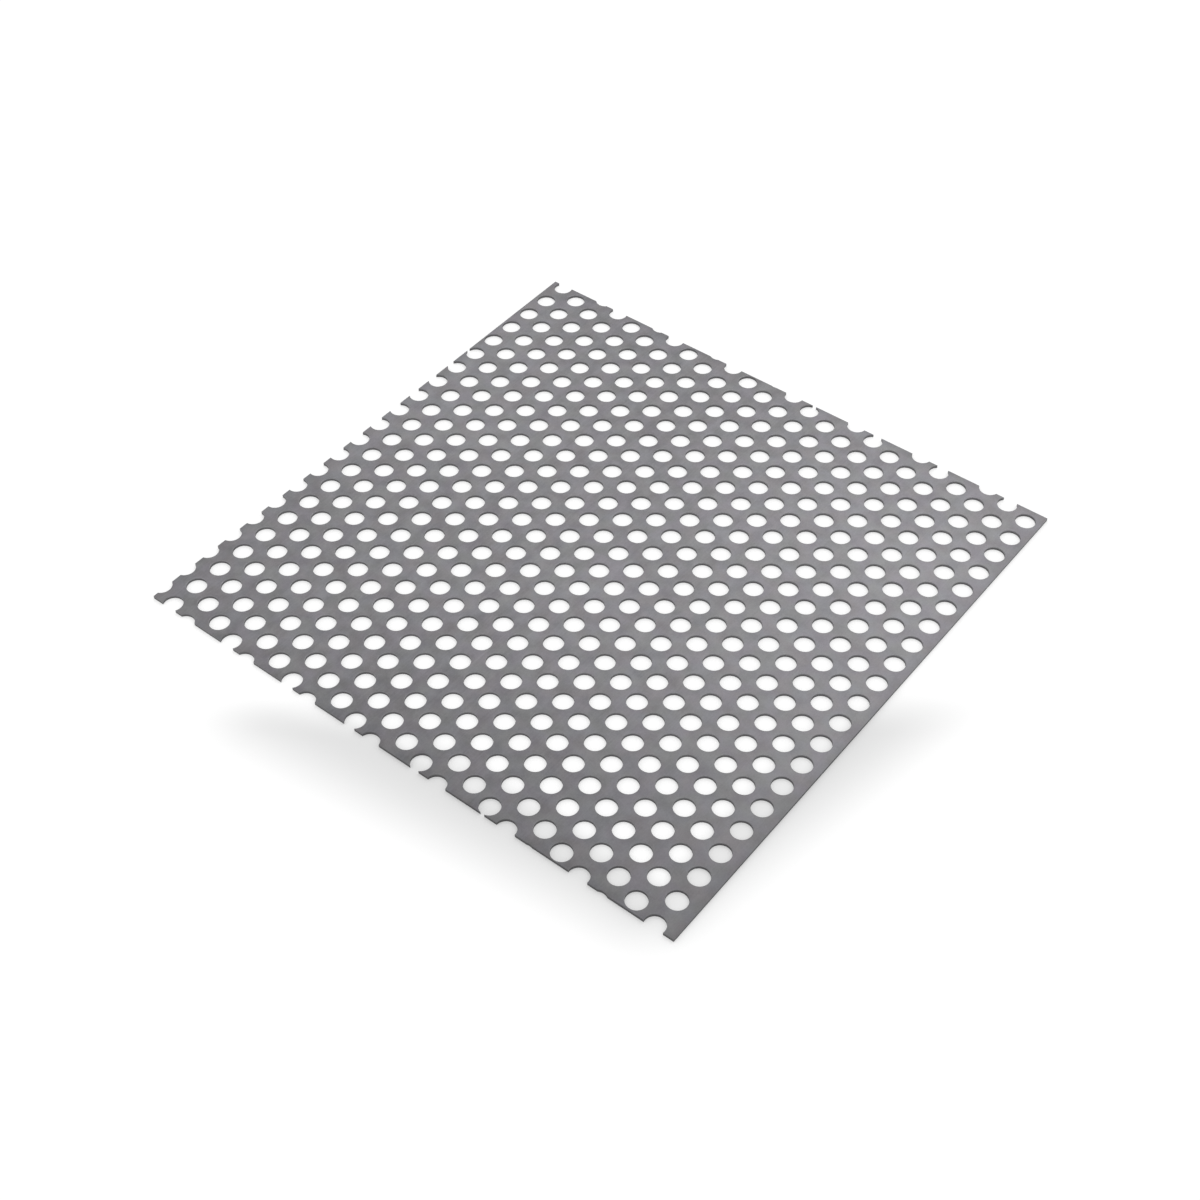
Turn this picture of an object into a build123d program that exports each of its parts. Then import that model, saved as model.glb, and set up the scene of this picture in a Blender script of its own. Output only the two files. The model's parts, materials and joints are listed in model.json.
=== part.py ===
from build123d import *
import os
from math import ceil, hypot, sqrt

# Perforated metal sheet: one piece of thin rolled sheet, punched all over with round
# holes in staggered rows. The origin is under the middle of the sheet, on the surface
# that it lies on. X runs across the rows of holes, Y along them, and Z is up.
# All lengths are in millimetres.

# The sheet. The side at +X is the mill's own edge. The other three were cut with shears,
# the one at -X a little out of square.
sheet_length = 199.2  # along the +Y side, the longer one
sheet_width = 196.4
sheet_thickness = 1.0
out_of_square = 4.4  # how much shorter the -Y side is than the +Y side

# The holes. Along each row they are one pitch apart, and the rows are as close as in an
# even triangular pattern. But each row is shifted by less than half a pitch against the
# last one, and always the same way, so that every third row nearly lines up again.
hole_diameter = 6.35
hole_pitch = 9.525
row_shift = 3.0  # along Y, from one row to the next one towards -X

# Where the pattern lies. The mill's edge has a plain margin beside the last row of
# holes, and the cuts run through whatever holes they meet.
plain_margin = 5.7  # from the +X side to the centres of the last row, at mid width
first_hole_place = -2.3  # along Y, the hole of the last row that starts the pattern
pattern_turn = -0.5  # degrees about Z, of the rows against the +X side

hole_radius = hole_diameter / 2
row_spacing = hole_pitch * sqrt(3) / 2


def hole_centres():
    """Centres of the holes inside the sheet and of those that its sides may cut."""
    first_hole = Location((sheet_length / 2 - plain_margin, first_hole_place, 0), (0, 0, pattern_turn))
    reach = hypot(sheet_length, sheet_width)
    rows = ceil(reach / row_spacing)
    steps = ceil(reach / hole_pitch)
    centres = []
    for row in range(rows):
        for step in range(-steps, steps + 1):
            hole = first_hole * Pos(-row * row_spacing, step * hole_pitch + row * row_shift)
            meets_length = abs(hole.position.X) < sheet_length / 2 + hole_radius
            meets_width = abs(hole.position.Y) < sheet_width / 2 + hole_radius
            if meets_length and meets_width:
                centres.append(hole.position)
    return centres


def perforated_sheet():
    """The punched sheet, without the crumbs that a cut may leave between two holes."""
    left, right = -sheet_length / 2, sheet_length / 2
    front, back = -sheet_width / 2, sheet_width / 2
    outline = Polygon((left + out_of_square, front), (right, front), (right, back), (left, back))
    punched = outline - [Pos(centre) * Circle(hole_radius) for centre in hole_centres()]
    return extrude(punched, amount=sheet_thickness).solids().sort_by(SortBy.VOLUME)[-1]


os.makedirs("parts", exist_ok=True)
export_step(perforated_sheet(), "parts/perforated_sheet.step")
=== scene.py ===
import json
from math import cos, pi, radians, sin

import bmesh
import bpy
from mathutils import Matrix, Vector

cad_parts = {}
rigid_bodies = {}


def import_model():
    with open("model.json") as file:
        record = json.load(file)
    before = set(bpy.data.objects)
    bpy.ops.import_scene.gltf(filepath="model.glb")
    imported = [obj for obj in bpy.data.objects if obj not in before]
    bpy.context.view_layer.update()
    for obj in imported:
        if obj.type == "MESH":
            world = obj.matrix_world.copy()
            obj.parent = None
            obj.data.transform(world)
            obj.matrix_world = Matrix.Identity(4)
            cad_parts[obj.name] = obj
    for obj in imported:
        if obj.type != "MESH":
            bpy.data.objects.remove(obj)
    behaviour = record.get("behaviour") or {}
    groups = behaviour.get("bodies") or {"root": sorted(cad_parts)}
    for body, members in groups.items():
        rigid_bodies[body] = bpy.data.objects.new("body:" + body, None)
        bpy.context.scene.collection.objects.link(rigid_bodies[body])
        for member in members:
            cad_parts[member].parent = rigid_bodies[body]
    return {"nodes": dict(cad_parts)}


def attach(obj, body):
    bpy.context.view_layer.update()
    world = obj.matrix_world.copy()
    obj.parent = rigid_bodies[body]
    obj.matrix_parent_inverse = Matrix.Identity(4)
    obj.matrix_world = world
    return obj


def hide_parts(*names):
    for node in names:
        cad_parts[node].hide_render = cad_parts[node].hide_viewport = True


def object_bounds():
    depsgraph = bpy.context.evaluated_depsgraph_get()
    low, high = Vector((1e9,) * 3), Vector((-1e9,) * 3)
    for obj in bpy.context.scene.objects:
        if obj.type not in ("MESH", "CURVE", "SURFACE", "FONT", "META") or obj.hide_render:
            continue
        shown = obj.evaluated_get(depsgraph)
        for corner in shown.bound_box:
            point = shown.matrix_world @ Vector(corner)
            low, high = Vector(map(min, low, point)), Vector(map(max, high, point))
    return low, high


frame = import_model()
cad_low, cad_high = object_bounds()
bpy.ops.object.select_all(action="DESELECT")

# The sheet: one piece of thin cold-rolled steel, punched all over with round holes and
# cut to size with shears. The punch went in from above and drew the rim of each hole
# down with it, so the rims are rounded there and sharp on the underside.
sheet_height = cad_high.z
out_of_square = 0.0044  # how much the -X side leans in, over the sheet's width
rim_round = 0.00012
rim_steps = 2
sharp_angle = radians(50)
weld_distance = 1e-6
steel_dark = (0.154, 0.154, 0.1565)
steel_light = (0.256, 0.256, 0.26)
violet_film = (1.0, 0.957, 0.98)
blue_film = (1.0, 1.0, 1.045)
worn_grey = (0.40, 0.40, 0.41)
torn_grey = (0.13, 0.128, 0.13)
# Painted shade in the steel's colour: the black it darkens towards, and how dark it makes
# the front corner and the sides.
painted_shade_black = (0.0, 0.0, 0.0)
corner_painted_shade = 0.32
side_painted_shade = 0.08
side_shade_band = 0.0035  # how far in from the sides the painted shade along them reaches
torn_height = 0.0006  # the wall of a hole is torn below this height
torn_fade = 0.00008

sheet_mesh = frame["nodes"]["perforated_sheet"].data.copy()
sheet = bpy.data.objects.new("punched_sheet", sheet_mesh)
bpy.context.collection.objects.link(sheet)
sheet.select_set(True)
bpy.context.view_layer.objects.active = sheet
bpy.ops.object.mode_set(mode="EDIT")
bpy.ops.mesh.select_all(action="SELECT")
bpy.ops.mesh.remove_doubles(threshold=weld_distance)
bpy.ops.mesh.customdata_custom_splitnormals_clear()

# The walls of the holes are what is left when both faces of the sheet are hidden, and
# then the wall that runs round the outside, with its cut holes. Their top edges are
# rounded once both triangles of each facet are one quad again.
bpy.ops.mesh.select_mode(type="FACE")
bpy.ops.mesh.select_all(action="DESELECT")
shape = bmesh.from_edit_mesh(sheet_mesh)
for face in shape.faces:
    face.select = abs(face.normal.z) > 0.5
bmesh.update_edit_mesh(sheet_mesh)
bpy.ops.mesh.hide()
for face in shape.faces:
    if not face.hide and face.calc_center_median().x > cad_high.x - 10 * weld_distance:
        face.select = True
bmesh.update_edit_mesh(sheet_mesh)
bpy.ops.mesh.select_linked()
bpy.ops.mesh.hide()
bpy.ops.mesh.select_all(action="SELECT")
bpy.ops.mesh.tris_convert_to_quads(face_threshold=radians(1), shape_threshold=pi)
bpy.ops.mesh.select_mode(type="EDGE")
bpy.ops.mesh.select_all(action="DESELECT")
for edge in shape.edges:
    if not edge.hide:
        edge.select = all(abs(v.co.z - sheet_height) < weld_distance for v in edge.verts)
bmesh.update_edit_mesh(sheet_mesh)
bpy.ops.mesh.reveal(select=False)
bpy.ops.mesh.bevel(offset=rim_round, segments=rim_steps, profile=0.5, clamp_overlap=False)
bpy.ops.object.mode_set(mode="OBJECT")
bpy.ops.object.shade_smooth_by_angle(angle=sharp_angle)
shading = sheet.modifiers.new("even_shading", "WEIGHTED_NORMAL")
shading.keep_sharp = True
shading.weight = 100
bpy.ops.object.modifier_apply(modifier=shading.name)


class Shade:
    """One socket of a material. Sums and products on it add Math nodes."""

    def __init__(self, tree, socket=None):
        self.tree = tree
        self.socket = socket

    def node(self, kind, settings, inputs, output=0):
        """One output of a new node, which is set up and has its inputs filled or linked."""
        made = self.tree.nodes.new("ShaderNode" + kind)
        for name, value in settings.items():
            setattr(made, name, value)
        for name, value in inputs.items():
            if isinstance(value, Shade):
                self.tree.links.new(value.socket, made.inputs[name])
            else:
                made.inputs[name].default_value = value
        return Shade(self.tree, None if output is None else made.outputs[output])

    def maths(self, operation, first, second):
        return self.node("Math", {"operation": operation}, {0: first, 1: second})

    def __add__(self, other):
        return self.maths("ADD", self, other)

    def __radd__(self, other):
        return self.maths("ADD", other, self)

    def __sub__(self, other):
        return self.maths("SUBTRACT", self, other)

    def __rsub__(self, other):
        return self.maths("SUBTRACT", other, self)

    def __mul__(self, other):
        return self.maths("MULTIPLY", self, other)

    def __rmul__(self, other):
        return self.maths("MULTIPLY", other, self)

    def __abs__(self):
        return self.node("Math", {"operation": "ABSOLUTE"}, {0: self})

    def step(self, low, high):
        """0 below low and 1 above high, with a soft slope between them."""
        spread = {"Value": self, "From Min": low, "From Max": high}
        return self.node("MapRange", {"interpolation_type": "SMOOTHSTEP"}, spread)

    def blend(self, first, second, kind="MIX"):
        """The first colour where this value is 0, and the second where it is 1."""
        first, second = (c if isinstance(c, Shade) else (*c, 1.0) for c in (first, second))
        settings = {"data_type": "RGBA", "blend_type": kind}
        return self.node("Mix", settings, {0: self, 6: first, 7: second}, 2)

    def fade(self, first, second):
        """The first number where this value is 0, and the second where it is 1."""
        return self.node("Mix", {"data_type": "FLOAT"}, {0: self, 2: first, 3: second})

    def noise(self, scale, detail=2.0, roughness=0.5):
        """Noise at this place, of about the given number of spots to the metre."""
        grain = {"Vector": self, "Scale": scale, "Detail": detail, "Roughness": roughness}
        return self.node("TexNoise", {"normalize": True}, grain)

    def stretched(self, scale, turn=0.0):
        """This place, turned about Z and stretched."""
        turned = {"Vector": self, "Scale": scale, "Rotation": (0, 0, turn)}
        return self.node("Mapping", {}, turned)


steel = bpy.data.materials.new("rolled_steel")
steel.use_nodes = True
steel.node_tree.nodes.clear()
start = Shade(steel.node_tree)
place = start.node("TexCoord", {}, {}, "Object")
facing = start.node("NewGeometry", {}, {}, "Normal")
upward = abs(start.node("SeparateXYZ", {}, {0: facing}, "Z"))
across = start.node("SeparateXYZ", {}, {0: place}, "X")
along = start.node("SeparateXYZ", {}, {0: place}, "Y")
height = start.node("SeparateXYZ", {}, {0: place}, "Z")

# The rolls leave a fine grain along Y, and handling leaves scratches that cross it. The
# wall of a hole is torn in its lower part, where the punch broke through.
clouds = place.noise(14, 2.0)
mottle = place.noise(190, 3.0, 0.55)
specks = place.noise(2600, 2.0)
rolled = place.stretched((1.0, 0.035, 1.0)).noise(2200, 3.0, 0.6)
rubbed = place.stretched((1.0, 0.02, 1.0), radians(24)).noise(900, 1.0)
scratches = rubbed.step(0.74, 0.78) * clouds.step(0.45, 0.6)
wall = 1 - upward.step(0.25, 0.55)
rim = upward.step(0.3, 0.6) * (1 - upward.step(0.93, 0.99))
torn = wall * (1 - height.step(torn_height - torn_fade, torn_height + torn_fade))

# Painted shade: the steel's colour is made darker and darker towards the corner at +X and
# -Y, and in a narrow band along the sides.
lean = (cad_high.y - along) * (out_of_square / (cad_high.y - cad_low.y))
inside = across.maths("MINIMUM", cad_high.x - across, across - cad_low.x - lean)
inside = inside.maths("MINIMUM", inside, cad_high.y - along)
inside = inside.maths("MINIMUM", inside, along - cad_low.y)
painted_shade = (across - along).step(-0.02, 0.2) * corner_painted_shade
painted_shade = painted_shade + (1 - inside.step(0.0, side_shade_band)) * side_painted_shade

tone = 0.5 + (clouds - 0.5) * 0.3 + (mottle - 0.5) * 0.9
tone = tone + (specks - 0.5) * 0.35 + (rolled - 0.5) * 0.4
colour = tone.step(0.0, 1.0).blend(steel_dark, steel_light)
colour = place.noise(120, 2.0).step(0.35, 0.65).blend(colour, violet_film, "MULTIPLY")
colour = place.noise(150, 2.0).step(0.35, 0.65).blend(colour, blue_film, "MULTIPLY")
# The painted shade darkens the colour towards black.
colour = painted_shade.blend(colour, painted_shade_black)
colour = (scratches * 0.12).blend(colour, worn_grey)
colour = (rim * 0.35).blend(colour, worn_grey)
colour = (torn * 0.8).blend(colour, torn_grey)
dullness = 0.4 + (mottle - 0.5) * 0.12 + (rolled - 0.5) * 0.14
dullness = dullness - scratches * 0.06 - rim * 0.1 + torn * 0.2
relief = clouds * 0.0003 + rolled * 0.0000016 + specks * 0.0000022
relief = relief + place.noise(1200, 2.0) * torn * 0.00002
bumps = start.node("Bump", {}, {"Strength": 1.0, "Distance": 1.0, "Height": relief})
surface = start.node("BsdfPrincipled", {}, {
    "Base Color": colour, "Metallic": 1.0, "Roughness": dullness, "Normal": bumps})
start.node("OutputMaterial", {}, {"Surface": surface}, None)

sheet_mesh.materials.clear()
sheet_mesh.materials.append(steel)
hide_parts("perforated_sheet")
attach(sheet, "root")
bpy.ops.object.select_all(action="DESELECT")

# The floor: a wide, plain, white board that the sheet lies on, a hair lower than its
# underside. A soft grey shadow is painted into its colour along the two near sides of the
# sheet, and shows in the outermost holes there.
floor_size = 12.0
floor_gap = 0.00002
floor_white = (0.6, 0.6, 0.6)
painted_shadow_grey = (0.436, 0.436, 0.436)
floor_glow = 0.69  # what the eye gets from the board beside the light that falls on it
holes_reach = (0.007, 0.016)  # how far under the sheet the painted shadow fades out
holes_painted_shadow = 0.77
painted_shadow_lines = {  # lines that bound the painted shadow: the shares of X and Y in the way past a line, its place, and the fade
    "front_far": (0.12, -0.991, 0.1113, -0.012, 0.0175),
    "right_far": (0.985, -0.171, 0.1126, -0.012, 0.0145),
    "front_end": (-0.489, 0.872, -0.0806, -0.004, 0.014),
    "right_end": (-0.6, 0.8, -0.06, -0.01, 0.012),
}

bpy.ops.mesh.primitive_plane_add(size=floor_size, location=(0, 0, cad_low.z - floor_gap))
floor = bpy.context.active_object
floor.name = "floor"
board = bpy.data.materials.new("white_board")
board.use_nodes = True
board.node_tree.nodes.clear()
start = Shade(board.node_tree)
place = start.node("TexCoord", {}, {}, "Object")
across = start.node("SeparateXYZ", {}, {0: place}, "X")
along = start.node("SeparateXYZ", {}, {0: place}, "Y")
within = {}
for name, (share_x, share_y, line, fade_low, fade_high) in painted_shadow_lines.items():
    past = across * share_x + along * share_y - line
    within[name] = 1 - past.step(fade_low, fade_high)

# Under each of the two sides the painted shadow goes over into the painted shadow in the
# holes, which is weaker and keeps to the half of the side nearer the corner.
front, right = within["front_end"] * across.step(-0.062, -0.032), within["right_end"]
covered = along - cad_low.y
holes = across.step(-0.03, 0.05) * (1 - covered.step(*holes_reach)) * holes_painted_shadow
front = front * covered.step(0.0, 0.006).fade(1.0, holes)
covered = cad_high.x - across
holes = (1 - along.step(-0.06, 0.02)) * (1 - covered.step(*holes_reach)) * holes_painted_shadow
right = right * covered.step(0.0, 0.006).fade(1.0, holes)
# The painted shadow: grey where the floor lies inside all its lines, white elsewhere.
painted_shadow = within["front_far"] * within["right_far"] * front.maths("MAXIMUM", front, right)
shown = painted_shadow.blend(floor_white, painted_shadow_grey)
seen = start.node("LightPath", {}, {}, "Is Camera Ray")
seen = seen + start.node("LightPath", {}, {}, "Is Glossy Ray")
seen = seen + start.node("LightPath", {}, {}, "Is Transmission Ray")
surface = start.node("BsdfPrincipled", {}, {
    "Base Color": shown, "Roughness": 1.0, "Specular IOR Level": 0.0,
    "Emission Color": seen.blend((0, 0, 0), shown), "Emission Strength": floor_glow})
start.node("OutputMaterial", {}, {"Surface": surface}, None)
floor.data.materials.append(board)

# The light: a white room all round, and two soft lamps behind the sheet, which make its
# right side the lighter one.
room_level = 1.0
lamps = {
    "right_lamp": {"place": (-0.13, 0.73, 1.06), "size": 0.6, "power": 1.75},
    "left_lamp": {"place": (-0.66, 0.56, 0.50), "size": 0.25, "power": 0.15},
}

world = bpy.data.worlds.new("white_room")
bpy.context.scene.world = world
world.use_nodes = True
world.node_tree.nodes.clear()
start = Shade(world.node_tree)
air = start.node("Background", {}, {"Color": (1, 1, 1, 1), "Strength": room_level})
start.node("OutputWorld", {}, {"Surface": air}, None)

for name, lamp in lamps.items():
    bpy.ops.object.light_add(type="AREA", location=lamp["place"])
    light = bpy.context.active_object
    light.name = name
    light.data.shape = "DISK"
    light.data.size = lamp["size"]
    light.data.energy = lamp["power"]
    light.rotation_euler = (-light.location).to_track_quat("-Z", "Y").to_euler()

# The camera looks down on the sheet across its front right corner.
camera_azimuth = radians(38.255)
camera_elevation = radians(46.525)
camera_distance = 0.53587
camera_target = (0.010617, -0.015620, 0.0)
camera_lens = 53.443
camera_sensor = 36.0
camera_clip = 0.01

back = (
    sin(camera_azimuth) * cos(camera_elevation),
    -cos(camera_azimuth) * cos(camera_elevation),
    sin(camera_elevation),
)
camera_place = [t + camera_distance * b for t, b in zip(camera_target, back)]
camera_turn = (pi / 2 - camera_elevation, 0, camera_azimuth)
bpy.ops.object.camera_add(location=camera_place, rotation=camera_turn)
camera = bpy.context.active_object
camera.name = "camera"
camera.data.lens = camera_lens
camera.data.sensor_width = camera_sensor
camera.data.clip_start = camera_clip
bpy.context.scene.camera = camera
bpy.context.scene.view_settings.view_transform = "Standard"
